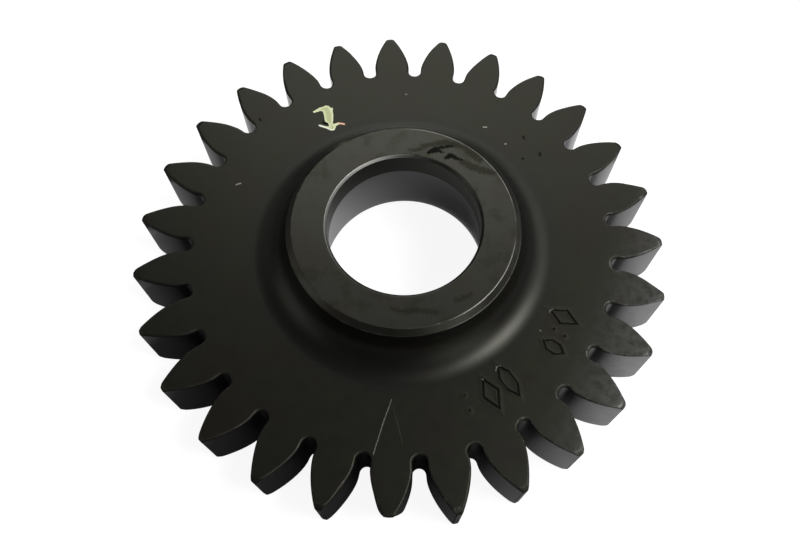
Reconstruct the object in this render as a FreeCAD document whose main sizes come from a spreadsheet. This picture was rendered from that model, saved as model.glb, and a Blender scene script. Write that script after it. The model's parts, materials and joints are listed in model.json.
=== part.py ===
# Pump gear: a one-piece spur gear with a raised hub and a 1 in 5 taper bore.
# Millimetres. The origin is the centre of the flat back face, and +Z is the
# gear's axis, pointing out of the hub. The middle of tooth 0 lies on +X, and
# the teeth count anticlockwise as seen from the hub. A blow has blunted one.

import FreeCAD, Part

import math
import os

import Sketcher

NODE = "pump_gear"
SHEET = "Sizes"

# Each row is a name, a value in millimetres unless the note says, and a note.
SIZES = (
    ("tooth_count", 27, "number of teeth"),
    ("tooth_module", 3.629, "pitch diameter for each tooth, 7 diametral pitch"),
    ("pressure_angle", 20, "degrees"),
    ("tooth_addendum", 6.01, "tip circle above the pitch circle"),
    ("tooth_dedendum", 5.42, "bottom of the tooth gap below the pitch circle"),
    ("tooth_thickness", 6.89, "along the pitch circle"),
    ("face_width", 14.5, "back face to tooth face"),
    ("tip_chamfer", 0.8, "turned at both ends of the tooth tips"),
    ("hub_diameter", 47.0, "outside of the raised hub"),
    ("hub_rise", 9.2, "tooth face to hub face"),
    ("hub_chamfer", 1.2, "outer corner of the hub face"),
    ("hub_hollow", 7.5, "radius from the hub down to the tooth face"),
    ("taper_diameter", 35.3, "large end of the taper, at the back face"),
    ("taper_ratio", 5, "length in which the taper loses 1 mm of diameter"),
    ("land_step", 0.5, "parallel land's radius below the taper's where they meet"),
    ("land_length", 5.8, "hub face to the inner end of the land"),
    ("mouth_chamfer", 0.5, "bore corner at the hub face"),
    ("back_chamfer", 1.0, "bore corner at the back face"),
    ("blunt_tooth", 20, "number of the tooth whose tip is knocked round"),
    ("blunt_nose", 3.5, "radius of the knocked tip"),
    ("blunt_front", 0.6, "tip circle to the knocked tip at the tooth face"),
    ("blunt_back", 2.5, "tip circle to the knocked tip at the back face"),
)

PITCH_RADIUS = "Sizes.tooth_count * Sizes.tooth_module / 2"
TIP_RADIUS = f"({PITCH_RADIUS} + Sizes.tooth_addendum)"
HUB_RADIUS = "Sizes.hub_diameter / 2"
HUB_FACE = "(Sizes.face_width + Sizes.hub_rise)"
LAND_END = f"({HUB_FACE} - Sizes.land_length)"
TAPER_SLOPE = "(1 / (2 * Sizes.taper_ratio))"
TAPER_RADIUS = "Sizes.taper_diameter / 2"
TAPER_END_RADIUS = f"({TAPER_RADIUS} - {LAND_END} * {TAPER_SLOPE})"
LAND_RADIUS = f"({TAPER_END_RADIUS} - Sizes.land_step)"

FLANK_POINTS = 8      # points that each involute flank is drawn through
CUTTER_OVERRUN = 1.0  # how far a cut's outline runs past the metal
HOLLOW_SHARE = 0.95   # most of the hub's straight wall that the hollow may take
FULL_TURN = 360       # degrees
HALF_TURN = 180       # degrees

HOLLOW = (f"min(Sizes.hub_hollow; {HOLLOW_SHARE} * "
          "(Sizes.hub_rise - Sizes.hub_chamfer))")


def make_sheet(doc):
    """Write the driving sizes to a spreadsheet, one alias each."""
    sheet = doc.addObject("Spreadsheet::Sheet", SHEET)
    for row, (name, value, note) in enumerate(SIZES, start=1):
        sheet.set(f"A{row}", name)
        sheet.set(f"B{row}", str(value))
        sheet.set(f"C{row}", note)
        sheet.setAlias(f"B{row}", name)
    doc.recompute()
    return sheet


def origin_feature(body, role):
    """One of the body's own origin planes or axes."""
    for feature in body.Origin.OriginFeatures:
        if feature.Role == role:
            return feature
    raise RuntimeError(f"{body.Label} has no {role}")


def new_sketch(body, name, role):
    """A sketch on one of the body's origin planes."""
    sketch = body.newObject("Sketcher::SketchObject", name)
    sketch.AttachmentSupport = [(origin_feature(body, role), "")]
    sketch.MapMode = "FlatFace"
    return sketch


def bind(sketch, kind, *place, size):
    """Add a dimension whose value is an expression on the sheet."""
    value = sketch.evalExpression(size)
    number = sketch.addConstraint(Sketcher.Constraint(kind, *place, float(value)))
    sketch.setExpression(f"Constraints[{number}]", size)


def hold(sketch, geometry, vertex, radius, height):
    """Hold a vertex at a radius and a height, where 0 means on that axis."""
    on_axis = (("DistanceX", radius, -2), ("DistanceY", height, -1))
    for kind, size, axis in on_axis:
        if size == "0":
            sketch.addConstraint(
                Sketcher.Constraint("PointOnObject", geometry, vertex, axis))
        else:
            bind(sketch, kind, -1, 1, geometry, vertex, size=size)


def draw_section(sketch, corners, hollow=None):
    """Draw a closed half section through corners of radius and height.

    hollow is the number of the corner that a hollow quarter round starts
    from, going inwards and up, and the round's radius.
    """
    start, size = hollow if hollow else (None, None)
    places = [
        FreeCAD.Vector(float(sketch.evalExpression(radius)),
                       float(sketch.evalExpression(height)), 0)
        for radius, height in corners]
    sides = []
    for number, place in enumerate(places):
        following = places[(number + 1) % len(places)]
        if number == start:
            centre = FreeCAD.Vector(place.x, following.y, 0)
            circle = Part.Circle(centre, FreeCAD.Vector(0, 0, 1), place.x - following.x)
            arc = Part.ArcOfCircle(circle, math.pi, 1.5 * math.pi)
            sides.append((sketch.addGeometry(arc), 2, 1))
        else:
            line = Part.LineSegment(place, following)
            sides.append((sketch.addGeometry(line), 1, 2))
    for number, (side, first, last) in enumerate(sides):
        following, its_first, _ = sides[(number + 1) % len(sides)]
        sketch.addConstraint(
            Sketcher.Constraint("Coincident", side, last, following, its_first))
    for (side, first, _), (radius, height) in zip(sides, corners):
        hold(sketch, side, first, radius, height)
    if hollow:
        bind(sketch, "Radius", sides[start][0], size=size)


def draw_blank(body):
    """The turned blank: the rim with its chamfered tips, and the hub."""
    sketch = new_sketch(body, "BlankSection", "XZ_Plane")
    tip_flat = f"{TIP_RADIUS} - Sizes.tip_chamfer"
    draw_section(
        sketch,
        [
            ("0", "0"),
            (tip_flat, "0"),
            (TIP_RADIUS, "Sizes.tip_chamfer"),
            (TIP_RADIUS, "Sizes.face_width - Sizes.tip_chamfer"),
            (tip_flat, "Sizes.face_width"),
            (f"{HUB_RADIUS} + {HOLLOW}", "Sizes.face_width"),
            (HUB_RADIUS, f"Sizes.face_width + {HOLLOW}"),
            (HUB_RADIUS, f"{HUB_FACE} - Sizes.hub_chamfer"),
            (f"{HUB_RADIUS} - Sizes.hub_chamfer", HUB_FACE),
            ("0", HUB_FACE),
        ],
        hollow=(5, HOLLOW))
    blank = body.newObject("PartDesign::Revolution", "Blank")
    blank.Profile = sketch
    blank.ReferenceAxis = (sketch, ["V_Axis"])
    blank.Angle = FULL_TURN
    return blank


def bore_blank(body):
    """The bore: a ground taper from the back, and a smaller parallel land."""
    sketch = new_sketch(body, "BoreSection", "XZ_Plane")
    draw_section(
        sketch,
        [
            ("0", "0"),
            (f"{TAPER_RADIUS} + Sizes.back_chamfer", "0"),
            (f"{TAPER_RADIUS} - Sizes.back_chamfer * {TAPER_SLOPE}",
             "Sizes.back_chamfer"),
            (TAPER_END_RADIUS, LAND_END),
            (LAND_RADIUS, LAND_END),
            (LAND_RADIUS, f"{HUB_FACE} - Sizes.mouth_chamfer"),
            (f"{LAND_RADIUS} + Sizes.mouth_chamfer", HUB_FACE),
            ("0", HUB_FACE),
        ])
    bore = body.newObject("PartDesign::Groove", "Bore")
    bore.Profile = sketch
    bore.ReferenceAxis = (sketch, ["V_Axis"])
    bore.Angle = FULL_TURN
    return bore


class ToothGap:
    """The outline of one gap between two teeth, worked out from the sheet."""

    def __init__(self, sheet):
        count = sheet.get("tooth_count")
        pitch_radius = count * sheet.get("tooth_module") / 2
        pressure = math.radians(sheet.get("pressure_angle"))
        self.half_pitch = math.pi / count
        self.base_radius = pitch_radius * math.cos(pressure)
        self.root_radius = pitch_radius - sheet.get("tooth_dedendum")
        self.outer_radius = (
            pitch_radius + sheet.get("tooth_addendum") + CUTTER_OVERRUN)
        self.base_half_tooth = (
            sheet.get("tooth_thickness") / (2 * pitch_radius)
            + math.tan(pressure) - pressure)

    def half_gap(self, radius):
        """Half the gap's angle at a radius; below the base circle it is constant."""
        roll = math.acos(min(1.0, self.base_radius / radius))
        return self.half_pitch - self.base_half_tooth + math.tan(roll) - roll

    def flank(self, radius, side):
        """The point of one flank, side -1 or 1, at a radius from the axis."""
        angle = self.half_pitch + side * self.half_gap(radius)
        return FreeCAD.Vector(radius * math.cos(angle), radius * math.sin(angle), 0)

    def root_end_radius(self):
        """Where the gap's round bottom meets the straight part of the flanks.

        The bottom is one arc that touches both flanks and the root circle.
        """
        spread = self.half_gap(self.root_radius)
        centre = self.root_radius / (1 - math.sin(spread))
        return centre * math.cos(spread)

    def edges(self):
        """The closed outline: two flanks, the round bottom and the open top."""
        root_end = self.root_end_radius()
        start = max(root_end, self.base_radius)
        radii = [
            start + (self.outer_radius - start) * step / (FLANK_POINTS - 1)
            for step in range(FLANK_POINTS)]
        outline = []
        for side in (-1, 1):
            curve = Part.BSplineCurve()
            curve.interpolate([self.flank(radius, side) for radius in radii])
            outline.append(curve)
            if root_end < start:
                outline.append(Part.LineSegment(
                    self.flank(root_end, side), self.flank(start, side)))
        bottom = FreeCAD.Vector(
            self.root_radius * math.cos(self.half_pitch),
            self.root_radius * math.sin(self.half_pitch), 0)
        outline.append(Part.Arc(
            self.flank(root_end, -1), bottom, self.flank(root_end, 1)))
        outline.append(Part.LineSegment(
            self.flank(self.outer_radius, -1), self.flank(self.outer_radius, 1)))
        return outline


def cut_teeth(body, sheet):
    """Cut one tooth gap along the axis and repeat it round the rim."""
    sketch = new_sketch(body, "GapOutline", "XY_Plane")
    for edge in ToothGap(sheet).edges():
        number = sketch.addGeometry(edge)
        sketch.addConstraint(Sketcher.Constraint("Block", number))
    gap = body.newObject("PartDesign::Pocket", "Gap")
    gap.Profile = sketch
    gap.Reversed = True
    gap.setExpression("Length", "Sizes.face_width")
    teeth = body.newObject("PartDesign::PolarPattern", "Teeth")
    teeth.Originals = [gap]
    teeth.Axis = (origin_feature(body, "Z_Axis"), [""])
    teeth.Angle = FULL_TURN
    teeth.setExpression("Occurrences", "Sizes.tooth_count")
    body.Tip = teeth
    return gap, teeth


def knocked_tip(height):
    """The knocked tip's radius from the gear's axis at a height."""
    slope = "(Sizes.blunt_back - Sizes.blunt_front) / Sizes.face_width"
    return f"({TIP_RADIUS} - Sizes.blunt_back + {slope} * ({height}))"


def blunt_one_tooth(body):
    """Round off one tooth's tip, further in at the back than at the front."""
    sketch = new_sketch(body, "BluntSection", "XZ_Plane")
    sketch.AttachmentOffset = FreeCAD.Placement(
        FreeCAD.Vector(), FreeCAD.Rotation(FreeCAD.Vector(0, 1, 0), HALF_TURN))
    sketch.setExpression(
        "AttachmentOffset.Rotation.Angle",
        f"{FULL_TURN} / Sizes.tooth_count * Sizes.blunt_tooth")
    bottom = f"-{CUTTER_OVERRUN}"
    top = f"Sizes.face_width + {CUTTER_OVERRUN}"
    beyond = f"{TIP_RADIUS} + {CUTTER_OVERRUN}"
    draw_section(
        sketch,
        [
            (knocked_tip(bottom), bottom),
            (beyond, bottom),
            (beyond, top),
            (knocked_tip(top), top),
        ])
    middle = [
        (f"{knocked_tip(height)} - Sizes.blunt_nose", height)
        for height in (bottom, top)]
    ends = [
        FreeCAD.Vector(float(sketch.evalExpression(radius)),
                       float(sketch.evalExpression(height)), 0)
        for radius, height in middle]
    axis = sketch.addGeometry(Part.LineSegment(*ends), True)
    for vertex, (radius, height) in enumerate(middle, start=1):
        hold(sketch, axis, vertex, radius, height)
    blunt = body.newObject("PartDesign::Groove", "BluntTip")
    blunt.Profile = sketch
    blunt.ReferenceAxis = (sketch, ["Axis0"])
    blunt.Angle = HALF_TURN
    blunt.Midplane = True
    return blunt


def make_gear(doc, sheet):
    """Build the gear as one body: turned, bored, toothed, then blunted."""
    body = doc.addObject("PartDesign::Body", "PumpGear")
    body.Label = NODE
    blank = draw_blank(body)
    doc.recompute()
    bore = bore_blank(body)
    doc.recompute()
    gap, teeth = cut_teeth(body, sheet)
    doc.recompute()
    blunt = blunt_one_tooth(body)
    doc.recompute()
    body.Placement = FreeCAD.Placement()
    volumes = [
        feature.Shape.Volume for feature in (blank, bore, gap, teeth, blunt)]
    if sorted(volumes, reverse=True) != volumes or len(set(volumes)) < len(volumes):
        raise RuntimeError(f"a cut removed nothing: {volumes}")
    return body


def check_document(doc, bodies):
    """Stop if any object failed, or a body's shape isn't one valid solid."""
    for item in doc.Objects:
        if {"Invalid", "Error"} & set(item.State):
            raise RuntimeError(f"{item.Name} failed: {item.State}")
    for body in bodies:
        if body.Shape.isNull() or not body.Shape.isValid():
            raise RuntimeError(f"{body.Label} has no valid shape")
        if len(body.Shape.Solids) != 1:
            raise RuntimeError(f"{body.Label} isn't one solid")


def main():
    """Build the document, check it and write one STEP file for each body."""
    doc = FreeCAD.newDocument("PumpGear")
    sheet = make_sheet(doc)
    bodies = [make_gear(doc, sheet)]
    doc.recompute()
    check_document(doc, bodies)
    os.makedirs("parts", exist_ok=True)
    for body in bodies:
        body.Shape.exportStep(f"parts/{body.Label}.step")
        box = body.Shape.BoundBox
        print(f"{body.Label}: {box.XLength:.3f} x {box.YLength:.3f} x "
              f"{box.ZLength:.3f} mm, {body.Shape.Volume / 1000:.3f} cm3")


main()
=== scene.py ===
"""The pump gear's looks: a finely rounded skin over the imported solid, its finish and the studio.

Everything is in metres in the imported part's own frame. The origin is the centre of the gear's
flat back face, +Z is its axis, out of the hub, and the middle of tooth 0 lies on +X.
"""
from __future__ import annotations

import json
import logging
import math
import random
from collections.abc import Sequence
from dataclasses import dataclass, field
from enum import Enum
from functools import reduce

import bmesh
import bpy
import numpy as np
from mathutils import Matrix, Vector

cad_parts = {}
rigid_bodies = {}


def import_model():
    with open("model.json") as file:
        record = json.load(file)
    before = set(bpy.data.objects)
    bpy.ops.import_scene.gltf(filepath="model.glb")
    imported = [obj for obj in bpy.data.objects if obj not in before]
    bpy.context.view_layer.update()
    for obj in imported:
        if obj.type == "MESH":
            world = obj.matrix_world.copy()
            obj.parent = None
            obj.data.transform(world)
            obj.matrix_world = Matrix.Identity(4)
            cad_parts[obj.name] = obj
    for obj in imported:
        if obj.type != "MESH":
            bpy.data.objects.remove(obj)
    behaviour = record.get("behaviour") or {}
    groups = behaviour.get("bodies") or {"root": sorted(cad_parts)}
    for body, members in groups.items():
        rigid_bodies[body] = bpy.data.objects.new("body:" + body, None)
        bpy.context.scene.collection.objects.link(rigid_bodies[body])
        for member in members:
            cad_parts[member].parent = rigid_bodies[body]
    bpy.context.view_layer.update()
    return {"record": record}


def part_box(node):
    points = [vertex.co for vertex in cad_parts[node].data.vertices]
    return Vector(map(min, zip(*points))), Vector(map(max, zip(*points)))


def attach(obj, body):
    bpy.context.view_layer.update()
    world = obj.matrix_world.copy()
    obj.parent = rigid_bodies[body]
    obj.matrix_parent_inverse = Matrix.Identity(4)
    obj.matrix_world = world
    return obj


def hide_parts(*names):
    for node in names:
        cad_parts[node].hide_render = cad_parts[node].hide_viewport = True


LOG = logging.getLogger("pump_gear")

MM = 0.001              # one millimetre in metres
NODE = "pump_gear"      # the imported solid's name
BODY = "root"           # the one body of a part without joints
SLOT = "blackened_steel"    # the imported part's one material slot

Point = tuple[float, float]
Colour = tuple[float, float, float, float]
Tone = tuple[float, float]              # a direction or radius, and the glow there
Row = tuple[np.ndarray, np.ndarray]     # x, y, z points and the wear weight of each
Vertex = bmesh.types.BMVert
Corner = tuple[float, float, float]     # x, y and half the width of a stroke, in millimetres
Strokes = tuple[tuple[Corner, ...], ...]


def add_object(name: str, data: bpy.types.ID) -> bpy.types.Object:
    """Put a new object into the scene.

    Args:
        name: of the object.
        data: its mesh, camera or light.

    Returns:
        The object.
    """
    thing = bpy.data.objects.new(name, data)
    bpy.context.scene.collection.objects.link(thing)
    return thing


class Wear(Enum):
    """How hard an edge has been rubbed, as the weight its mesh attribute holds."""

    NONE = 0.0
    LIGHT = 0.45
    FULL = 1.0


@dataclass
class ToothForm:
    """The involute tooth, as in the part's source.

    Attributes:
        tip_radius: outside radius of the teeth.
        count: number of teeth.
        module: pitch diameter for each tooth.
        pressure_angle: in radians.
        dedendum: bottom of the gap below the pitch circle.
        thickness: of a tooth, along the pitch circle.
        corner: how far the worn corner between flank and tip runs along each.
        corner_parts: where that corner's curve has points, as shares of it.
        flank_steps: spans along each flank.
        root_steps: spans along each half of a gap's round bottom.
    """

    tip_radius: float
    count: int = 27
    module: float = 3.629 * MM
    pressure_angle: float = math.radians(20)
    dedendum: float = 5.42 * MM
    thickness: float = 6.89 * MM
    corner: float = 0.3 * MM
    corner_parts: tuple[float, ...] = (0.35, 0.7)
    flank_steps: int = 13
    root_steps: int = 7

    def __post_init__(self) -> None:
        """Work out the circles and angles that every section shares."""
        self.pitch_radius = self.count * self.module / 2
        self.base_radius = self.pitch_radius * math.cos(self.pressure_angle)
        self.root_radius = self.pitch_radius - self.dedendum
        self.half_pitch = math.pi / self.count
        self.base_half_tooth = (
            self.thickness / (2 * self.pitch_radius)
            + math.tan(self.pressure_angle) - self.pressure_angle)
        spread = self.half_pitch - self.base_half_tooth
        self.bottom_centre = self.root_radius / (1 - math.sin(spread))
        self.bottom_radius = self.bottom_centre * math.sin(spread)
        self.bottom_turn = math.pi / 2 - spread

    def half_tooth(self, radius: float) -> float:
        """Half a tooth's angle at a radius."""
        roll = math.acos(min(1.0, self.base_radius / radius))
        return self.base_half_tooth - (math.tan(roll) - roll)

    def half_section(self, tip_radius: float) -> tuple[list[Point], list[float]]:
        """Half of one tooth's outline, from the gap's middle to the tip's middle.

        Args:
            tip_radius: where the tooth ends in this section.

        Returns:
            Points of radius and angle from the tooth's middle, and the wear weight of each.
        """
        points: list[Point] = []
        for step in range(self.root_steps + 1):
            turn = self.bottom_turn * step / self.root_steps
            along = self.bottom_centre - self.bottom_radius * math.cos(turn)
            across = self.bottom_radius * math.sin(turn)
            points.append((math.hypot(along, across), self.half_pitch - math.atan2(across, along)))
        flank_end = tip_radius - self.corner
        for step in range(self.flank_steps + 1):
            radius = self.base_radius + (flank_end - self.base_radius) * step / self.flank_steps
            points.append((radius, self.half_tooth(radius)))
        wear = [Wear.NONE.value] * len(points)
        tip_half = self.half_tooth(tip_radius)
        land = tip_half - self.corner / tip_radius
        start, end = points[-1], (tip_radius, land)
        for part in self.corner_parts:
            rest = 1 - part
            radius = rest * rest * start[0] + 2 * rest * part * tip_radius + part * part * end[0]
            angle = rest * rest * start[1] + 2 * rest * part * tip_half + part * part * end[1]
            points.append((radius, angle))
        points += [end, (tip_radius, land / 2)]
        wear += [Wear.FULL.value, Wear.FULL.value, Wear.LIGHT.value, Wear.LIGHT.value]
        return points, wear

    def outline(self, tip_radius: float) -> tuple[np.ndarray, np.ndarray]:
        """The whole closed outline, anticlockwise from the gap before tooth 0.

        Args:
            tip_radius: where the teeth end in this section.

        Returns:
            An array of x, y points and an array of wear weights.
        """
        half, wear = self.half_section(tip_radius)
        radii = np.array([radius for radius, _ in half])
        angles = np.array([angle for _, angle in half])
        tooth_radii = np.concatenate([radii, [tip_radius], radii[:0:-1]])
        tooth_angles = np.concatenate([-angles, [0.0], angles[:0:-1]])
        tooth_wear = np.concatenate([wear, [Wear.LIGHT.value], wear[:0:-1]])
        middles = np.arange(self.count) * 2 * self.half_pitch
        full = (middles[:, None] + tooth_angles[None, :]).ravel()
        lengths = np.tile(tooth_radii, self.count)
        places = np.column_stack([lengths * np.cos(full), lengths * np.sin(full)])
        return places, np.tile(tooth_wear, self.count)


@dataclass
class KnockedTooth:
    """The one tooth whose tip a blow has rounded, as in the part's source.

    Attributes:
        number: of the tooth, counted anticlockwise from +X.
        nose: radius of the knocked tip.
        front: from the tip circle to the knocked tip at the tooth face.
        back: the same at the back face.
    """

    number: int = 20
    nose: float = 3.5 * MM
    front: float = 0.6 * MM
    back: float = 2.5 * MM

    def press(self, places: np.ndarray, height: float, form: ToothForm, width: float) -> np.ndarray:
        """Push the points of one section that stand past the nose back onto it.

        Args:
            places: the section's x, y points.
            height: the section's height.
            form: the teeth.
            width: back face to tooth face.

        Returns:
            The moved points.
        """
        middle = 2 * form.half_pitch * self.number
        outward = np.array([math.cos(middle), math.sin(middle)])
        across = np.array([-outward[1], outward[0]])
        tip = form.tip_radius - self.back + (self.back - self.front) * height / width
        centre = tip - self.nose
        along, side = places @ outward, places @ across
        distance = np.hypot(along - centre, side)
        past = (along > centre) & (distance > self.nose) & (np.abs(side) < 2 * self.nose)
        pull = np.where(past, self.nose / np.maximum(distance, self.nose), 1.0)
        along = np.where(past, centre + (along - centre) * pull, along)
        side = side * pull
        return along[:, None] * outward + side[:, None] * across


LEAST_MITRE = 0.35      # keeps the points at sharp corners from running away


def mitred_normals(places: np.ndarray) -> np.ndarray:
    """The inward offset direction at each point of a closed anticlockwise outline.

    Args:
        places: x, y points.

    Returns:
        One vector for each point, long enough that both edges beside it move by 1.
    """
    ahead = np.roll(places, -1, axis=0) - places
    ahead /= np.linalg.norm(ahead, axis=1)[:, None]
    inward = np.column_stack([-ahead[:, 1], ahead[:, 0]])
    before = np.roll(inward, 1, axis=0)
    together = inward + before
    share = 1 + np.sum(inward * before, axis=1)
    return together / np.maximum(share, LEAST_MITRE)[:, None]


STRONG_NOISE = 1.5      # sum of waves that counts as full strength


def smooth_noise(count: int, waves: int, seed: int, layers: int = 24) -> np.ndarray:
    """Gentle noise from -1 to 1 round a closed loop.

    Args:
        count: points in the loop.
        waves: highest number of waves round the loop.
        seed: of the random draws.
        layers: number of waves that are added up.

    Returns:
        One value for each point.
    """
    draw = random.Random(seed)
    turn = np.arange(count) * 2 * math.pi / count
    total = np.zeros(count)
    for _ in range(layers):
        bumps = turn * draw.randint(1, waves)
        total += math.sqrt(2 / layers) * np.sin(bumps + draw.uniform(0, 2 * math.pi))
    return np.clip(total / STRONG_NOISE, -1, 1)


@dataclass
class RimLayer:
    """One section of the toothed rim.

    Attributes:
        height: above the back face.
        inset: how far the outline is moved inwards where the wear is even.
        sink: how far a rounded edge has dropped below its face there, downwards.
        tip_radius: where the teeth end.
        wear: weight of the edge at this height.
    """

    height: float
    inset: float
    sink: float
    tip_radius: float
    wear: float


@dataclass
class HubForm:
    """The turned and bored part of the gear, as in the part's source.

    Attributes:
        length: back face to hub face.
        land_radius: of the parallel land.
        radius: outside of the hub.
        rim_chamfer: outer corner of the hub face.
        hollow: radius from the hub down to the web.
        taper_radius: at the back face.
        taper_slope: loss of radius for each unit of height.
        land_length: hub face to the inner end of the land.
        mouth_chamfer: bore corner at the hub face.
        back_chamfer: bore corner at the back face.
        soft: rounding of the worn edges.
    """

    length: float
    land_radius: float
    radius: float = 23.5 * MM
    rim_chamfer: float = 1.2 * MM
    hollow: float = 7.5 * MM
    taper_radius: float = 17.65 * MM
    taper_slope: float = 0.1
    land_length: float = 5.8 * MM
    mouth_chamfer: float = 0.5 * MM
    back_chamfer: float = 1.0 * MM
    soft: float = 0.18 * MM

    def corners(self, web: float) -> list[tuple[Point, float]]:
        """The section's corners from the web over the hub and down the bore.

        Args:
            web: height of the tooth face.

        Returns:
            Points of radius and height, each with the rounding of that corner.
        """
        face = self.length
        land_end = face - self.land_length
        taper_end = self.taper_radius - self.taper_slope * land_end
        mouth = self.land_radius + self.mouth_chamfer
        back = self.taper_radius - self.taper_slope * self.back_chamfer
        return [
            ((self.radius + self.hollow, web), 0.0),
            ((self.radius, web), self.hollow),
            ((self.radius, face - self.rim_chamfer), 1.6 * self.soft),
            ((self.radius - self.rim_chamfer, face), self.soft),
            ((mouth, face), self.soft),
            ((self.land_radius, face - self.mouth_chamfer), self.soft),
            ((self.land_radius, land_end), 0.5 * self.soft),
            ((taper_end, land_end), 0.0),
            ((back, self.back_chamfer), self.soft),
            ((self.taper_radius + self.back_chamfer, 0.0), self.soft),
        ]


def rounded_corner(before: Point, corner: Point, after: Point, radius: float, steps: int) -> list[Point]:
    """Points of the arc that rounds one corner of a section.

    Args:
        before: the corner before.
        corner: the corner itself.
        after: the corner after.
        radius: of the arc.
        steps: spans along it.

    Returns:
        The arc's points, both ends included.
    """
    here = Vector(corner)
    back = (Vector(before) - here).normalized()
    ahead = (Vector(after) - here).normalized()
    half = back.angle(ahead) / 2
    centre = here + (back + ahead).normalized() * (radius / math.sin(half))
    start = here + back * (radius / math.tan(half)) - centre
    end = here + ahead * (radius / math.tan(half)) - centre
    turn = start.angle_signed(end)
    points = []
    for step in range(steps + 1):
        spoke = Matrix.Rotation(-turn * step / steps, 2) @ start
        points.append(tuple(centre + spoke))
    return points


def beside(start: Point, towards: Point, reach: float = 0.25 * MM) -> Point:
    """The point a little way from one place towards another."""
    step = Vector(towards) - Vector(start)
    return tuple(Vector(start) + step.normalized() * min(reach, 0.4 * step.length))


@dataclass
class GearSkin:
    """The gear's visible mesh: the CAD form with its edges worn round.

    Attributes:
        form: the teeth.
        hub: the turned and bored part.
        knocked: the damaged tooth.
        width: back face to tooth face.
        tip_chamfer: turned at both ends of the teeth.
        front_round: rounding of the tooth face's edge.
        back_round: rounding of the back face's edge.
        rubbed_and_lit_side: direction of the most rubbed teeth, on the side the light falls from, in
            degrees from +X.
        worn_from: cosine from that direction where the extra wear begins.
        worn_fade: by how much more that cosine is where it is full.
        gap_radius: below which a point of the outline counts as in a gap.
        gap_fade: depth over which that begins.
        rub_waves: highest number of waves of the uneven wear round the rim.
        rub_seed: of its random draws.
        most_sunk: largest factor by which wear deepens the edges' rounding.
        spokes: spans round the turned part.
        edge_turns: where an edge's rounding has points, as shares of its turn.
        middle_spans: spans along the teeth between the chamfers.
        hollow_spans: spans down the hollow.
        corner_spans: spans along each rounded corner of the hub and the bore.
        sharp_from: angle between faces, in degrees, from which an edge stays sharp.
        face_weight: how much the large faces count in the smooth shading.
    """

    form: ToothForm
    hub: HubForm
    knocked: KnockedTooth = field(default_factory=KnockedTooth)
    width: float = 14.5 * MM
    tip_chamfer: float = 0.8 * MM
    front_round: float = 0.5 * MM
    back_round: float = 0.3 * MM
    rubbed_and_lit_side: float = -34.0
    worn_from: float = 0.7
    worn_fade: float = 0.25
    gap_radius: float = 46.0 * MM
    gap_fade: float = 1.5 * MM
    rub_waves: int = 160
    rub_seed: int = 5
    most_sunk: float = 1.4
    spokes: int = 432
    edge_turns: tuple[float, ...] = (0.0, 0.17, 0.34, 0.5, 0.67, 0.84, 1.0)
    middle_spans: int = 6
    hollow_spans: int = 22
    corner_spans: int = 4
    sharp_from: float = 38.0
    face_weight: int = 60

    def _edge_layers(self, amount: float, face: float, way: int) -> list[RimLayer]:
        """The sections round one edge of the teeth and down its chamfer.

        Args:
            amount: the edge's rounding.
            face: height of the face it borders.
            way: 1 where the teeth lie above that face, -1 where they lie below it.

        Returns:
            The sections, from the face inwards.
        """
        layers = []
        for turn in self.edge_turns:
            angle = turn * math.pi / 2
            depth = amount * (1 - math.cos(angle))
            inset = amount * (1 - math.sin(angle))
            tip = self.form.tip_radius - self.tip_chamfer + depth
            wear = Wear.FULL if 0 < turn < 1 else Wear.LIGHT
            layers.append(RimLayer(face, inset, -way * depth, tip, wear.value))
        layers.append(RimLayer(
            face + way * self.tip_chamfer, 0.0, 0.0, self.form.tip_radius, Wear.NONE.value))
        return layers

    def rim_layers(self) -> list[RimLayer]:
        """Work out the rim's sections.

        Returns:
            The sections, from the back face up to the tooth face.
        """
        back = self._edge_layers(self.back_round, 0.0, 1)
        front = self._edge_layers(self.front_round, self.width, -1)
        low, high = back[-1].height, front[-1].height
        middle = [
            RimLayer(low + (high - low) * step / self.middle_spans, 0.0, 0.0,
                     self.form.tip_radius, Wear.NONE.value)
            for step in range(1, self.middle_spans)]
        return back + middle + front[::-1]

    def rub(self, places: np.ndarray) -> np.ndarray:
        """How much more than evenly the rim's edges are rounded at each point of the outline.

        Args:
            places: the outline's x, y points.

        Returns:
            One factor for each, largest in the gaps of the worn side and smallest along its flanks.
        """
        radii = np.linalg.norm(places, axis=1)
        worn_way = math.radians(self.rubbed_and_lit_side)
        towards = (places @ np.array([math.cos(worn_way), math.sin(worn_way)])) / radii
        side = np.clip((towards - self.worn_from) / self.worn_fade, 0, 1)
        in_gap = np.clip((self.gap_radius - radii) / self.gap_fade, 0, 1)
        uneven = 0.25 * smooth_noise(len(places), self.rub_waves, self.rub_seed)
        return 1 + uneven + side * (0.8 * in_gap - 0.45)

    def hub_section(self) -> tuple[list[Point], list[float]]:
        """Work out the turned section.

        Returns:
            Its points from the web over the hub and down the bore to the back face, and
            the wear of each.
        """
        corners = self.hub.corners(self.width)
        reach = 0.5 * (self.hub.radius + self.hub.hollow + self.form.root_radius)
        points: list[Point] = [(reach, self.width), corners[0][0]]
        wear = [Wear.NONE.value, Wear.NONE.value]
        places = [place for place, _ in corners] + [(reach, 0.0)]
        for number in range(1, len(corners)):
            place, rounding = corners[number]
            if rounding == 0.0:
                points.append(place)
                wear.append(Wear.NONE.value)
                continue
            is_hollow = rounding == self.hub.hollow
            steps = self.hollow_spans if is_hollow else self.corner_spans
            arc = rounded_corner(places[number - 1], place, places[number + 1], rounding, steps)
            if is_hollow:
                points += arc[1:]
                wear += [Wear.NONE.value] * steps
                continue
            points += [beside(arc[0], places[number - 1]), *arc, beside(arc[-1], places[number + 1])]
            wear += [Wear.NONE.value] + [Wear.FULL.value] * len(arc) + [Wear.NONE.value]
        points.append((reach, 0.0))
        wear.append(Wear.NONE.value)
        return points, wear

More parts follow.
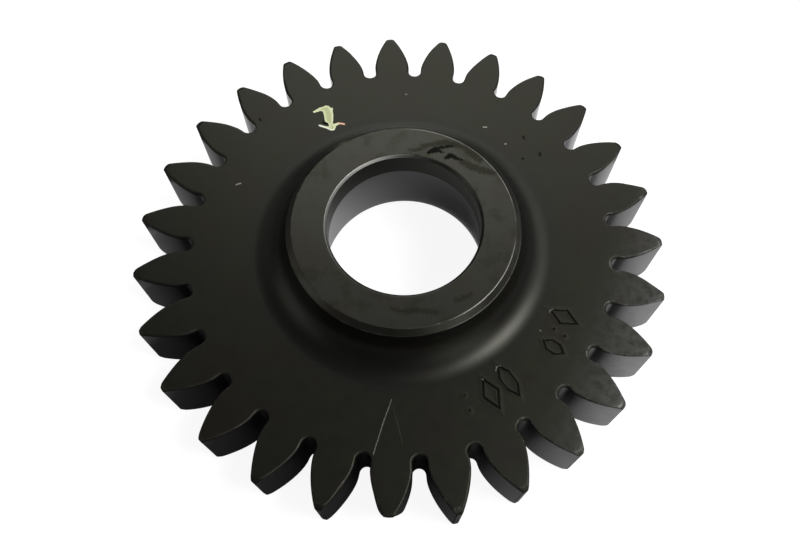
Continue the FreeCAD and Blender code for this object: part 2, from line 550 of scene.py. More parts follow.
    def rim_rows(self) -> list[Row]:
        """Work out the rim's rows of points.

        Returns:
            One row for each section, from the back face up to the tooth face.
        """
        rub = self.rub(self.form.outline(self.form.tip_radius)[0])
        rows = []
        for layer in self.rim_layers():
            places, tip_wear = self.form.outline(layer.tip_radius)
            places = self.knocked.press(places, layer.height, self.form, self.width)
            inset = places + mitred_normals(places) * (layer.inset * rub)[:, None]
            heights = layer.height - layer.sink * np.minimum(rub, self.most_sunk)
            rows.append((np.column_stack([inset, heights]), np.maximum(tip_wear, layer.wear)))
        return rows

    def hub_rows(self) -> list[Row]:
        """Work out the turned part's rows of points.

        Returns:
            One row for each point of the turned section.
        """
        turn = np.arange(self.spokes) * 2 * math.pi / self.spokes
        rows = []
        for (radius, height), wear in zip(*self.hub_section()):
            ring = [radius * np.cos(turn), radius * np.sin(turn), np.full(self.spokes, height)]
            rows.append((np.column_stack(ring), np.full(self.spokes, wear)))
        return rows

    def build(self) -> bpy.types.Object:
        """Make the mesh object.

        Returns:
            The gear, smooth shaded, with an edge_wear attribute.
        """
        mesh = bmesh.new()
        wear_layer = mesh.verts.layers.float.new("edge_wear")
        rim, hub = (
            [self._add_row(mesh, row, wear_layer) for row in rows]
            for rows in (self.rim_rows(), self.hub_rows()))
        for chain in (rim, hub):
            for row, following in zip(chain, chain[1:]):
                self._bridge(mesh, row, following)
        self._fill(mesh, rim[-1], hub[0])
        self._fill(mesh, rim[0], hub[-1])
        bmesh.ops.recalc_face_normals(mesh, faces=mesh.faces)
        data = bpy.data.meshes.new("gear_skin")
        mesh.to_mesh(data)
        mesh.free()
        data.shade_smooth()
        data.set_sharp_from_angle(angle=math.radians(self.sharp_from))
        gear = add_object("gear_skin", data)
        weighted = gear.modifiers.new("even_normals", "WEIGHTED_NORMAL")
        weighted.keep_sharp = True
        weighted.weight = self.face_weight
        return gear

    @staticmethod
    def _add_row(mesh: bmesh.types.BMesh, row: Row, layer: bmesh.types.BMLayerItem) -> list[Vertex]:
        """Add one closed row of vertices with their wear weights.

        Args:
            mesh: to add to.
            row: the points and their wear.
            layer: the wear attribute's layer.

        Returns:
            The new vertices.
        """
        added = []
        for place, weight in zip(*row):
            vertex = mesh.verts.new(place)
            vertex[layer] = float(weight)
            added.append(vertex)
        return added

    @staticmethod
    def _bridge(mesh: bmesh.types.BMesh, lower: Sequence[Vertex], upper: Sequence[Vertex]) -> None:
        """Join two closed rows with quads.

        Args:
            mesh: that holds them.
            lower: one row.
            upper: the other, of as many vertices.
        """
        for number in range(len(lower)):
            following = (number + 1) % len(lower)
            mesh.faces.new((lower[number], lower[following], upper[following], upper[number]))

    @staticmethod
    def _fill(mesh: bmesh.types.BMesh, outer: Sequence[Vertex], inner: Sequence[Vertex]) -> None:
        """Fill the flat ring between two closed rows with triangles.

        Args:
            mesh: that holds them.
            outer: the row outside.
            inner: the row inside.
        """
        edges = []
        for row in (outer, inner):
            for number, vertex in enumerate(row):
                pair = (vertex, row[(number + 1) % len(row)])
                edges.append(mesh.edges.get(pair) or mesh.edges.new(pair))
        bmesh.ops.triangle_fill(mesh, use_beauty=True, use_dissolve=False, edges=edges)


class Wire:
    """One value or colour in a material's node tree, with Python's operators."""

    def __init__(self, bench: "ShaderBench", socket: bpy.types.NodeSocket | None) -> None:
        """Wrap one output socket of a bench."""
        self.bench = bench
        self.socket = socket

    def _math(self, operation: str, *values: "Wire | float") -> "Wire":
        """Add one Math node.

        Args:
            operation: the node's operation.
            values: what its sockets take, in order.

        Returns:
            The node's result.
        """
        return self.bench.node("ShaderNodeMath", {"operation": operation}, dict(enumerate(values)))

    def __add__(self, other: "Wire | float") -> "Wire":
        """This plus another."""
        return self._math("ADD", self, other)

    __radd__ = __add__

    def __sub__(self, other: "Wire | float") -> "Wire":
        """This less another."""
        return self._math("SUBTRACT", self, other)

    def __rsub__(self, other: float) -> "Wire":
        """A number less this."""
        return self._math("SUBTRACT", other, self)

    def __mul__(self, other: "Wire | float") -> "Wire":
        """This times another."""
        return self._math("MULTIPLY", self, other)

    __rmul__ = __mul__

    def __gt__(self, other: "Wire | float") -> "Wire":
        """1 where this is more than another."""
        return self._math("GREATER_THAN", self, other)

    def __lt__(self, other: "Wire | float") -> "Wire":
        """1 where this is less than another."""
        return self._math("LESS_THAN", self, other)

    def __abs__(self) -> "Wire":
        """This without its sign."""
        return self._math("ABSOLUTE", self)

    def larger(self, other: "Wire | float") -> "Wire":
        """The larger of this and another."""
        return self._math("MAXIMUM", self, other)

    def smaller(self, other: "Wire | float") -> "Wire":
        """The smaller of this and another."""
        return self._math("MINIMUM", self, other)

    def kept(self) -> "Wire":
        """This, kept from 0 to 1."""
        return self.bench.node("ShaderNodeClamp", {}, {0: self})

    def ramp(self, low: float, high: float) -> "Wire":
        """Add a smooth step.

        Args:
            low: where it is 0, which may be the larger value.
            high: where it is 1.

        Returns:
            The step.
        """
        if low <= high:
            limits = {1: low, 2: high, 3: 0.0, 4: 1.0}
        else:
            limits = {1: high, 2: low, 3: 1.0, 4: 0.0}
        return self.bench.node(
            "ShaderNodeMapRange", {"interpolation_type": "SMOOTHSTEP"}, {0: self, **limits})


class ShaderBench:
    """Makes the nodes of one material."""

    def __init__(self, name: str) -> None:
        """Start a material with an empty node tree.

        Args:
            name: of the material.
        """
        self.material = bpy.data.materials.new(name)
        self.material.use_nodes = True
        self.tree = self.material.node_tree
        self.tree.nodes.clear()

    def node(self, kind: str, settings: dict | None = None, sockets: dict | None = None,
             output: int | str = 0) -> Wire:
        """Add a node.

        Args:
            kind: the node's type.
            settings: its own properties, set first.
            sockets: its inputs by number or name, as numbers, tuples or wires.
            output: number or name of the output to return.

        Returns:
            That output, empty where the node has none.
        """
        made = self.tree.nodes.new(kind)
        for name, value in (settings or {}).items():
            setattr(made, name, value)
        for name, value in (sockets or {}).items():
            if isinstance(value, Wire):
                self.tree.links.new(value.socket, made.inputs[name])
            else:
                made.inputs[name].default_value = value
        return Wire(self, made.outputs[output] if made.outputs else None)

    def mix(self, factor: Wire | float, first: Wire | Colour, second: Wire | Colour) -> Wire:
        """Blend two colours.

        Args:
            factor: 0 gives the first and 1 the second.
            first: a colour.
            second: a colour.

        Returns:
            The blend.
        """
        return self.node("ShaderNodeMix", {"data_type": "RGBA"}, {0: factor, 6: first, 7: second}, 2)

    def vector(self, operation: str, first: Wire | tuple, second: Wire | tuple | float | None,
               output: int | str = 0) -> Wire:
        """Add one Vector Math node.

        Args:
            operation: the node's operation.
            first: a vector.
            second: a vector, the factor of SCALE, or None for an operation on one vector.
            output: number or name of the output to return.

        Returns:
            That output.
        """
        sockets = {0: first}
        if second is not None:
            sockets["Scale" if operation == "SCALE" else 1] = second
        return self.node("ShaderNodeVectorMath", {"operation": operation}, sockets, output)

    def finished(self, sockets: dict[str, object]) -> bpy.types.Material:
        """Give the material its one shader.

        Args:
            sockets: the shader's inputs by name, as numbers, tuples or wires.

        Returns:
            The material.
        """
        shader = self.node("ShaderNodeBsdfPrincipled", {}, sockets)
        self.node("ShaderNodeOutputMaterial", {}, {"Surface": shader})
        return self.material

    def noise(self, place: Wire, scale: float, detail: float = 3.0, roughness: float = 0.5) -> Wire:
        """Fractal noise from 0 to 1 at a place.

        Args:
            place: a vector.
            scale: waves for each unit of the place.
            detail: number of finer layers.
            roughness: strength of the finer layers.

        Returns:
            The noise's value.
        """
        return self.node(
            "ShaderNodeTexNoise", {"noise_dimensions": "3D"},
            {"Vector": place, "Scale": scale, "Detail": detail, "Roughness": roughness})


def pale(value: float) -> Colour:
    """A neutral colour of one brightness."""
    return (value, value, value, 1.0)


class Face(Enum):
    """The flat faces that carry marks, by the height in millimetres that only they reach."""

    WEB = (14.3, 14.75)
    HUB = (23.6, 24.0)


class Zone(Enum):
    """Rings of the gear, by the radii in millimetres where one side or both of them fade in."""

    BORE = ((18.3, 17.9),)
    HUB = ((24.2, 23.4),)
    HUB_EDGE = ((24.5, 24.0), (20.5, 21.0))
    HOLLOW = ((24.0, 25.5), (34.0, 31.0))
    GAP_BOTTOMS = ((44.0, 43.5), (42.6, 43.0))
    TEETH = ((43.2, 43.8),)


class Height(Enum):
    """Heights above the back face, by the millimetres over which what is there begins."""

    HUB = (15.6, 17.0)
    LAND = (17.8, 18.0)
    MOUTH = (23.0, 23.3)


class Way(Enum):
    """Unit vectors across the gear, towards the painted highlights and the edges rubbed most."""

    TEETH = (0.906, -0.423, 0.0)
    RUBBED_AND_LIT_EDGES = (0.829, -0.559, 0.0)
    MOUTH = (-0.819, 0.574, 0.0)
    HUB_RIGHT_HIGHLIGHT = (0.78, -0.626, 0.0)
    HUB_BACK_HIGHLIGHT = (0.643, 0.766, 0.0)


class Tint(Enum):
    """Base colours of what lies on the steel or shows through its oxide, also used for painted
    highlights and a painted shadow.
    """

    BARE_AND_GLINT = (0.22, 0.215, 0.20, 1.0)
    BLACK = (0.003, 0.003, 0.0025, 1.0)
    OIL = (0.018, 0.016, 0.010, 1.0)
    WHITE = (0.93, 0.93, 0.80, 1.0)
    RED = (0.86, 0.50, 0.34, 1.0)


@dataclass(frozen=True)
class Mark:
    """A group of strokes on one flat face and what lies in them.

    Attributes:
        face: that carries them.
        ragged: how far noise moves their edges, in millimetres.
        soft: half the width over which their edges fade.
        share: how much they hide of what is below.
        tint: their base colour.
        roughness: of their surface.
        metallic: of their surface.
        relief: their height above the face, in millimetres.
        strokes: the chains of tapering lines.
    """

    face: Face
    ragged: float
    soft: float
    share: float
    tint: Tint
    roughness: float
    metallic: float
    relief: float
    strokes: Strokes


@dataclass(frozen=True)
class Stamp:
    """A plain shape punched into the web: a lozenge, or one with its side corners cut off.

    Attributes:
        x: of its middle in millimetres.
        y: of its middle in millimetres.
        turn: direction of its long axis, in degrees from +X.
        half_length: middle to corner along that axis.
        half_width: middle to corner across it.
        cut: share of the half width that is kept, 1 for the whole lozenge.
    """

    x: float
    y: float
    turn: float
    half_length: float
    half_width: float
    cut: float = 1.0


DIRT = (
    # oily stains
    Mark(Face.HUB, 0.7, 0.4, 0.72, Tint.OIL, 0.45, 0.95, 0.0, (
        ((1.0, 16.8, 0.3), (2.3, 16.9, 0.35), (3.6, 17.1, 0.3)),
        ((1.6, 15.1, 0.3), (2.7, 15.6, 0.35)),
        ((4.0, 18.0, 0.5), (8.5, 18.9, 0.7), (12.5, 17.6, 0.7), (15.6, 14.6, 0.8)),
        ((12.0, 14.0, 0.7), (14.3, 12.7, 0.8), (16.3, 11.9, 0.8), (18.4, 11.4, 0.5)),
        ((-2.6, -18.2, 0.3), (-0.8, -18.9, 0.4), (2.0, -18.7, 0.5), (5.9, -19.2, 0.5)),
        ((9.8, -16.8, 0.5), (12.5, -15.6, 0.5)))),
    # black blots
    Mark(Face.HUB, 0.6, 0.25, 0.92, Tint.BLACK, 0.5, 1.0, 0.0, (
        ((5.2, 16.5, 0.55), (6.6, 16.9, 0.5), (7.9, 16.4, 0.3)),
        ((6.3, 17.3, 0.4), (8.0, 17.6, 0.4), (10.0, 17.9, 0.25)),
        ((8.5, 14.9, 0.25), (9.6, 15.7, 0.55), (10.6, 15.1, 0.5), (11.9, 14.5, 0.2)))),
)
NICKS_AND_SCRATCHES = (
    # nicks
    Mark(Face.WEB, 0.25, 0.1, 0.6, Tint.BLACK, 0.5, 1.0, -0.06, (
        ((26.9, 26.5, 0.35), (27.1, 26.0, 0.2)),
        ((30.2, 22.3, 0.25), (30.3, 21.6, 0.35)),
        ((26.2, 20.8, 0.2), (26.5, 20.6, 0.2)),
        ((-32.3, 31.1, 0.25), (-32.0, 30.6, 0.2)))),
    # the long scratch
    Mark(Face.WEB, 0.05, 0.05, 0.7, Tint.BARE_AND_GLINT, 0.4, 1.0, -0.015, (
        ((-2.6, -33.1, 0.05), (-4.2, -37.6, 0.11), (-5.23, -40.93, 0.08), (-5.94, -43.27, 0.1)),)),
    # the faint scratch beside it
    Mark(Face.WEB, 0.05, 0.05, 0.2, Tint.BARE_AND_GLINT, 0.4, 1.0, 0.0, (
        ((-2.4, -34.5, 0.04), (-1.3, -38.6, 0.07), (-0.6, -41.4, 0.05)),)),
    # specks
    Mark(Face.WEB, 0.12, 0.07, 0.22, Tint.WHITE, 0.6, 0.0, 0.05, (
        ((-35.84, 14.12, 0.16), (-35.2, 14.35, 0.2), (-34.9, 14.5, 0.1)),
        ((18.0, 29.1, 0.2), (18.7, 29.1, 0.16)),
        ((22.7, 24.6, 0.2), (22.9, 24.6, 0.12)),
        ((0.5, 38.1, 0.16), (0.7, 38.1, 0.12)))),
)
STAMP_LINE = 0.18       # half the width of a punched line, in millimetres
STAMPS = (
    Stamp(31.9, -16.9, -31, 2.9, 1.6),
    Stamp(29.2, -23.2, -36, 2.3, 1.9, 0.6),
    Stamp(19.8, -29.8, -57, 3.5, 1.9, 0.62),
    Stamp(16.3, -32.3, -63, 3.2, 1.6),
)
PIPS = (
    ((29.6, -19.4, 0.2), (29.7, -19.5, 0.2)),
    ((31.6, -20.9, 0.2), (31.7, -21.0, 0.2)),
    ((11.1, -32.4, 0.13), (11.2, -32.6, 0.13)),
    ((12.0, -35.4, 0.13), (12.1, -35.6, 0.13)),
)
# painted highlights at the hub-side ends of the stamped lines, where their walls catch the light
GLINTS = (
    Mark(Face.WEB, 0.08, 0.08, 0.9, Tint.BARE_AND_GLINT, 0.35, 1.0, 0.0, (
        ((29.1, -15.9, 0.07), (29.35, -15.35, 0.15), (29.95, -15.2, 0.07)),
        ((17.5, -27.9, 0.07), (17.85, -26.9, 0.14), (18.5, -26.8, 0.07)),
        ((14.9, -29.45, 0.15), (15.0, -29.6, 0.08)),
        ((26.9, -19.7, 0.14), (26.95, -19.75, 0.12)))),
)
PAINT = (
    ((-20.2, 33.1, 0.25), (-18.9, 33.85, 0.45), (-17.5, 33.9, 0.95), (-16.95, 32.5, 1.05),
     (-16.8, 31.0, 0.95), (-16.4, 30.0, 0.5), (-16.0, 29.0, 0.65)),
    ((-16.3, 34.0, 0.25), (-16.4, 33.4, 0.35)),
    ((-18.75, 29.4, 0.2), (-17.4, 28.9, 0.28), (-15.95, 28.7, 0.6), (-15.4, 29.6, 0.33),
     (-14.4, 30.0, 0.18)),
)
PAINT_TOUCHES_LIGHT_AND_SHADE = (
    # painted highlight along the curled lower lip of the paint
    Mark(Face.WEB, 0.06, 0.12, 1.0, Tint.WHITE, 0.5, 0.0, 0.0, (
        ((-18.8, 29.4, 0.22), (-17.2, 28.75, 0.14), (-16.2, 28.2, 0.16), (-15.5, 28.4, 0.08)),)),
    Mark(Face.WEB, 0.06, 0.07, 1.0, Tint.RED, 0.5, 0.0, 0.0, (
        ((-14.8, 30.1, 0.16), (-14.0, 29.95, 0.2), (-13.4, 29.8, 0.22)),)),
    # painted shadow under the curled paint
    Mark(Face.WEB, 0.1, 0.15, 1.0, Tint.BLACK, 0.6, 1.0, 0.0, (
        ((-18.2, 30.3, 0.12), (-17.6, 30.05, 0.3), (-17.1, 29.85, 0.22)),)),
)


WITHOUT_HEIGHT = (1.0, 1.0, 0.0)        # a vector times this lies flat


class GearPlaces:
    """Where on the gear a shaded point lies, as wires in millimetres."""

    def __init__(self, bench: ShaderBench) -> None:
        """Add the nodes that read the point's place and the way it faces.

        Args:
            bench: that makes the material's nodes.
        """
        self.bench = bench
        coordinates = bench.node("ShaderNodeTexCoord", output="Object")
        facing = bench.node("ShaderNodeTexCoord", output="Normal")
        self.place = bench.vector("SCALE", coordinates, 1 / MM)
        self.x, self.y, self.z = (
            bench.node("ShaderNodeSeparateXYZ", {}, {0: self.place}, axis) for axis in "XYZ")
        flat = bench.vector("MULTIPLY", self.place, WITHOUT_HEIGHT)
        self.radius = bench.vector("LENGTH", flat, None, "Value")
        self.level = abs(bench.node("ShaderNodeSeparateXYZ", {}, {0: facing}, "Z"))
        self.wear = bench.node("ShaderNodeAttribute", {"attribute_name": "edge_wear"}, {}, "Fac")
        jitter = bench.node(
            "ShaderNodeTexNoise", {}, {"Vector": self.place, "Scale": 1.7, "Detail": 2.0}, "Color")
        self.jitter = bench.vector("SUBTRACT", jitter, (0.5, 0.5, 0.5))

    def noise(self, scale: float, detail: float, roughness: float = 0.5) -> Wire:
        """Fractal noise at the point, with so many waves for each millimetre."""
        return self.bench.noise(self.place, scale, detail, roughness)

    def stretched(self, first: Wire, second: Wire, third: Wire, detail: float) -> Wire:
        """Noise that is drawn out in some directions.

        Args:
            first: the place's first measure, scaled for the noise.
            second: the second measure.
            third: the third measure.
            detail: number of finer layers.

        Returns:
            The noise's value.
        """
        place = self.bench.node("ShaderNodeCombineXYZ", {}, {0: first, 1: second, 2: third})
        return self.bench.noise(place, 1.0, detail)

    def turned(self) -> Wire:
        """Noise drawn out round the axis, as a lathe leaves it."""
        return self.stretched(self.radius * 1.6, self.x * 0.05 + 3.0, self.y * 0.05, 2.0)

    def ground(self) -> Wire:
        """Noise drawn out round the bore, as a grinding wheel leaves it."""
        return self.stretched(self.x * 0.12, self.y * 0.12, self.z * 9.0, 3.0)

    def on_face(self, face: Face) -> Wire:
        """1 on a flat face and 0 off it."""
        low, high = face.value
        return (self.z > low) * (self.z < high)

    def within(self, zone: Zone) -> Wire:
        """1 in a ring of the gear, fading to 0 beside it."""
        return reduce(Wire.__mul__, [self.radius.ramp(*limits) for limits in zone.value])

    def above(self, height: Height) -> Wire:
        """1 above a height and 0 below it."""
        low, high = height.value
        return self.z.ramp(low, high)

    def below(self, height: Height) -> Wire:
        """1 below a height and 0 above it."""
        low, high = height.value
        return self.z.ramp(high, low)

    def towards(self, way: Way) -> Wire:
        """How many millimetres the point lies that way from the axis."""
        return self.bench.vector("DOT_PRODUCT", self.place, way.value, "Value")

    def ragged(self, amount: float) -> Wire:
        """The place on a flat face, moved about by noise.

        Args:
            amount: how far at the most, in millimetres.

        Returns:
            The moved place, as a vector.
        """
        push = self.bench.vector("SCALE", self.jitter, 2 * amount)
        moved = self.bench.vector("ADD", self.place, push)
        return self.bench.vector("MULTIPLY", moved, WITHOUT_HEIGHT)

    def outside(self, strokes: Strokes, ragged: float) -> Wire:
        """How far a point lies outside a group of strokes.

        Args:
            strokes: the group.
            ragged: how far noise moves their edges.

        Returns:
            The distance in millimetres, below 0 inside them.
        """
        place = self.ragged(ragged)
        gaps = [self._past(place, *pair) for chain in strokes for pair in zip(chain, chain[1:])]
        return reduce(Wire.smaller, gaps)

    def off_outline(self, stamps: Sequence[Stamp], ragged: float) -> Wire:
        """How far a point lies from the outlines of a group of stamped shapes.

        Args:
            stamps: the shapes.
            ragged: how far noise moves their edges.

        Returns:
            The distance in millimetres.
        """
        place = self.ragged(ragged)
        gaps = []
        for stamp in stamps:
            turn = math.radians(stamp.turn)
            along, across = (math.cos(turn), math.sin(turn)), (-math.sin(turn), math.cos(turn))
            shares = []
            for axis, half in ((along, stamp.half_length), (across, stamp.half_width)):
                start = stamp.x * axis[0] + stamp.y * axis[1]
                reach = self.bench.vector("DOT_PRODUCT", place, (axis[0], axis[1], 0.0), "Value")
                shares.append(abs(reach - start) * (1 / half))
            slim = shares[0] + shares[1]
            if stamp.cut < 1:
                slim = slim.larger(shares[1] * (1 / stamp.cut))
            size = stamp.half_width * stamp.half_length / math.hypot(
                stamp.half_width, stamp.half_length)
            gaps.append(abs(slim - 1.0) * size)
        return reduce(Wire.smaller, gaps)

    def _past(self, place: Wire, start: Corner, end: Corner) -> Wire:
        """How far a place is outside one tapering line.

        Args:
            place: on the face.
            start: one end of the line.
            end: the other.

        Returns:
            The distance in millimetres, below 0 inside the line.
        """
        bench = self.bench
        run = (end[0] - start[0], end[1] - start[1])
        square = run[0] ** 2 + run[1] ** 2
        offset = bench.vector("SUBTRACT", place, (start[0], start[1], 0.0))
        unit = (run[0] / square, run[1] / square, 0.0)
        share = bench.vector("DOT_PRODUCT", offset, unit, "Value").kept()
        nearest = bench.vector("SCALE", (run[0], run[1], 0.0), share)
        distance = bench.vector("DISTANCE", offset, nearest, "Value")
        return distance - (share * (end[2] - start[2]) + start[2])


@dataclass
class Finish:
    """What the shader takes over the gear, built up layer by layer.

    Attributes:
        colour: base colour.
        roughness: of the surface.
        metallic: 1 for bare metal.
        height: of the fine relief, in millimetres.
    """

    colour: Wire
    roughness: Wire
    metallic: Wire
    height: Wire

    def cover(self, mask: Wire, colour: Wire | Colour, roughness: Wire | float, metallic: float) -> None:
        """Lay another finish over this one.

        Args:
            mask: 1 where it lies.
            colour: its base colour.
            roughness: its roughness.
            metallic: its metallic value.
        """
        self.colour = mask.bench.mix(mask, self.colour, colour)
        self.roughness = self.roughness + (roughness - self.roughness) * mask
        self.metallic = self.metallic + (metallic - self.metallic) * mask

    def lay(self, where: GearPlaces, marks: Sequence[Mark]) -> None:
        """Lay marks over this finish.

        Args:
            where: the shaded point.
            marks: in the order they are laid.
        """
        for mark in marks:
            mask = where.outside(mark.strokes, mark.ragged).ramp(mark.soft, -mark.soft)
            mask = mask * where.on_face(mark.face)
            self.cover(mask * mark.share, mark.tint.value, mark.roughness, mark.metallic)
            if mark.relief:
                self.height = self.height + mask * mark.relief


@dataclass(frozen=True)
class BlackenedSteel:
    """Machined steel under a worn, oily black oxide finish, with painted highlights on edges, teeth and
    the bore's mouth.
    """

    name: str = SLOT
    oxide: Colour = (0.0285, 0.0300, 0.0225, 1.0)
    oxide_brown: Colour = (0.0305, 0.0280, 0.0225, 1.0)
    oxide_green: Colour = (0.0265, 0.0300, 0.0190, 1.0)
    flank: Colour = (0.034, 0.0345, 0.036, 1.0)
    hollow: Colour = (0.0275, 0.0280, 0.0255, 1.0)
    painted_teeth_sheen: Colour = (0.098, 0.100, 0.096, 1.0)
    hub_oxide: Colour = (0.0475, 0.0490, 0.0400, 1.0)
    hub_brown: Colour = (0.0480, 0.0445, 0.0370, 1.0)
    ground: Colour = (0.115, 0.112, 0.117, 1.0)
    painted_mouth_highlight: Colour = (0.34, 0.34, 0.32, 1.0)
    land: Colour = (0.027, 0.027, 0.021, 1.0)
    paint: Colour = (0.50, 0.53, 0.27, 1.0)
    paint_pale: Colour = (0.72, 0.76, 0.46, 1.0)

    def build(self) -> bpy.types.Material:
        """Make the material.

        Returns:
            The material.
        """
        bench = ShaderBench(self.name)
        where = GearPlaces(bench)
        finish = self._oxide(where)
        self._bore(where, finish)
        self._rub(where, finish)
        finish.lay(where, DIRT)
        finish.lay(where, NICKS_AND_SCRATCHES)
        self._stamp(where, finish)
        self._paint(where, finish)
        relief = bench.node(
            "ShaderNodeBump", {}, {"Strength": 1.0, "Distance": MM, "Height": finish.height}, "Normal")
        return bench.finished({
            "Base Color": finish.colour, "Roughness": finish.roughness,
            "Metallic": finish.metallic, "Normal": relief})

    def _oxide(self, where: GearPlaces) -> Finish:
        """Start with the oxide on the turned faces and the flanks.

        Args:
            where: the shaded point.

        Returns:
            The finish to build on.
        """
        bench = where.bench
        broad = where.noise(0.09, 2.0)
        cloud = where.noise(0.35, 4.0, 0.6)
        fine = where.noise(3.0, 3.0, 0.6)
        colour = bench.mix(broad.ramp(0.45, 0.62), self.oxide, self.oxide_brown)
        finish = Finish(
            colour=bench.mix(cloud.ramp(0.55, 0.72), colour, self.oxide_green),
            roughness=0.32 + cloud * 0.07 + fine * 0.04,
            metallic=0.96 - cloud * 0.08,
            height=where.turned() * 0.0018 + fine * 0.0012 + cloud * 0.006)
        finish.cover(where.within(Zone.HOLLOW) * 0.6, self.hollow, 0.38, 0.93)
        greenish = where.noise(0.22, 3.0, 0.6).ramp(0.5, 0.68) * 0.55
        hub = bench.mix(broad.ramp(0.48, 0.6), self.hub_oxide, self.hub_brown)
        hub = bench.mix(greenish, hub, self.oxide_green)
        on_hub = where.within(Zone.HUB) * where.above(Height.HUB)
        finish.cover(on_hub, hub, 0.31 + cloud * 0.08, 0.93)
        on_flank = where.within(Zone.TEETH) * where.level.ramp(0.75, 0.35)
        finish.cover(on_flank, self.flank, 0.3 + fine * 0.08, 0.95)
        return finish

    def _bore(self, where: GearPlaces, finish: Finish) -> None:
        """Lay the ground taper, the black land above it and a painted highlight on one side of the
        mouth.

        Args:
            where: the shaded point.
            finish: to build on.
        """
        marks = where.ground()
        bore = where.within(Zone.BORE)
        wall = bore * where.level.ramp(0.55, 0.3)
        taper = wall * where.below(Height.LAND)
        finish.cover(taper, self.ground, 0.3 + marks * 0.1, 1.0)
        finish.height = finish.height + marks * taper * 0.002
        finish.cover(wall * where.above(Height.LAND), self.land, 0.42 + marks * 0.1, 0.95)
        # painted highlight on one side of the mouth's chamfer, where it catches the light
        mouth = bore * where.above(Height.MOUTH) * where.level.ramp(0.25, 0.5)
        mouth = mouth * where.level.ramp(0.98, 0.9) * where.towards(Way.MOUTH).ramp(0.0, 15.0)
        finish.cover(mouth, self.painted_mouth_highlight, 0.32 + marks * 0.15, 1.0)

    def _rub(self, where: GearPlaces, finish: Finish) -> None:
        """Show the rubbed edges' metal through the oxide, with painted highlights where the edges catch
        the light.

        Args:
            where: the shaded point.
            finish: to build on.
        """
        patchy = where.noise(0.55, 4.0, 0.65)
        edge = where.wear.ramp(0.5, 1.0)
        # painted highlight: the outer teeth towards the lower right are made lighter where the light
        # falls on them
        teeth_sheen_mask = where.towards(Way.TEETH).ramp(38.0, 54.0) * patchy.ramp(0.2, 0.7)
        finish.cover(teeth_sheen_mask * 0.75, self.painted_teeth_sheen, 0.38, 1.0)
        # edges towards the lower right: partly wear, partly painted highlight where the light falls
        rubbed_and_lit_side = where.towards(Way.RUBBED_AND_LIT_EDGES).ramp(22.0, 44.0)
        hub_edge = where.within(Zone.HUB_EDGE)
        # painted highlights on two arcs of the hub's edge, where it catches the light
        hub_highlight_arcs = where.towards(Way.HUB_RIGHT_HIGHLIGHT).ramp(19.0, 21.5).larger(
            where.towards(Way.HUB_BACK_HIGHLIGHT).ramp(16.0, 19.0) * 0.9)
        finish.roughness = finish.roughness + edge * (0.12 + rubbed_and_lit_side * 0.1)
        for bare_and_highlight in (
                # all edges in patches: wear, with a painted highlight added on the lit side and on the
                # hub's edge
                edge * patchy.ramp(0.48, 0.7) * (0.1 + rubbed_and_lit_side * 0.25 + hub_edge * 0.3),
                # painted highlight along the hub edge's two arcs
                edge * hub_edge * hub_highlight_arcs * patchy.ramp(0.2, 0.5) * 0.85,
                # painted highlights at the gap bottoms on the lit side
                edge * where.within(Zone.GAP_BOTTOMS) * rubbed_and_lit_side * patchy.ramp(0.45, 0.62) * 0.35):
            finish.cover(bare_and_highlight, Tint.BARE_AND_GLINT.value, 0.4, 1.0)

    def _stamp(self, where: GearPlaces, finish: Finish) -> None:
        """Punch the plain shapes where the gear is stamped, with painted highlights at the hub-side ends
        of their lines.

        Args:
            where: the shaded point.
            finish: to build on.
        """
        lines = (where.off_outline(STAMPS, 0.12) - STAMP_LINE).smaller(where.outside(PIPS, 0.05))
        stamped = lines.ramp(0.1, -0.12) * where.on_face(Face.WEB)
        finish.cover(stamped * 0.8, Tint.BLACK.value, 0.45, 1.0)
        finish.lay(where, GLINTS)
        finish.height = finish.height - stamped * 0.16 + lines.ramp(0.9, 0.1) * 0.03

    def _paint(self, where: GearPlaces, finish: Finish) -> None:
        """Lay the curled dab of old paint on the web, with a painted highlight along its curled lip and
        a painted shadow under it.

        Args:
            where: the shaded point.
            finish: to build on.
        """
        gap = where.outside(PAINT, 0.1)
        dab = gap.ramp(0.06, -0.06) * where.on_face(Face.WEB)
        tone = where.bench.mix(gap.ramp(-0.2, -0.6), self.paint_pale, self.paint)
        finish.cover(dab, tone, 0.5, 0.0)
        finish.lay(where, PAINT_TOUCHES_LIGHT_AND_SHADE)
        finish.height = finish.height + dab * 0.05


@dataclass(frozen=True)
class StudioFloor:
    """The plain pale floor that the gear lies on, a light table that glows faintly.

    Attributes:
        half_side: middle to side.
        grey: brightness of its colour.
        glow: strength of its own light.
    """

    half_side: float = 3.0
    grey: float = 0.18
    glow: float = 0.91

    def build(self) -> bpy.types.Object:
        """Make the floor.

        Returns:
            The floor.
        """
        side = self.half_side
        data = bpy.data.meshes.new("floor")
        corners = [(-side, -side, 0), (side, -side, 0), (side, side, 0), (-side, side, 0)]
        data.from_pydata(corners, [], [(0, 1, 2, 3)])
        floor = add_object("floor", data)
        data.materials.append(ShaderBench("pale_floor").finished({
            "Base Color": pale(self.grey), "Roughness": 0.8,
            "Emission Color": pale(1.0), "Emission Strength": self.glow}))
        return floor


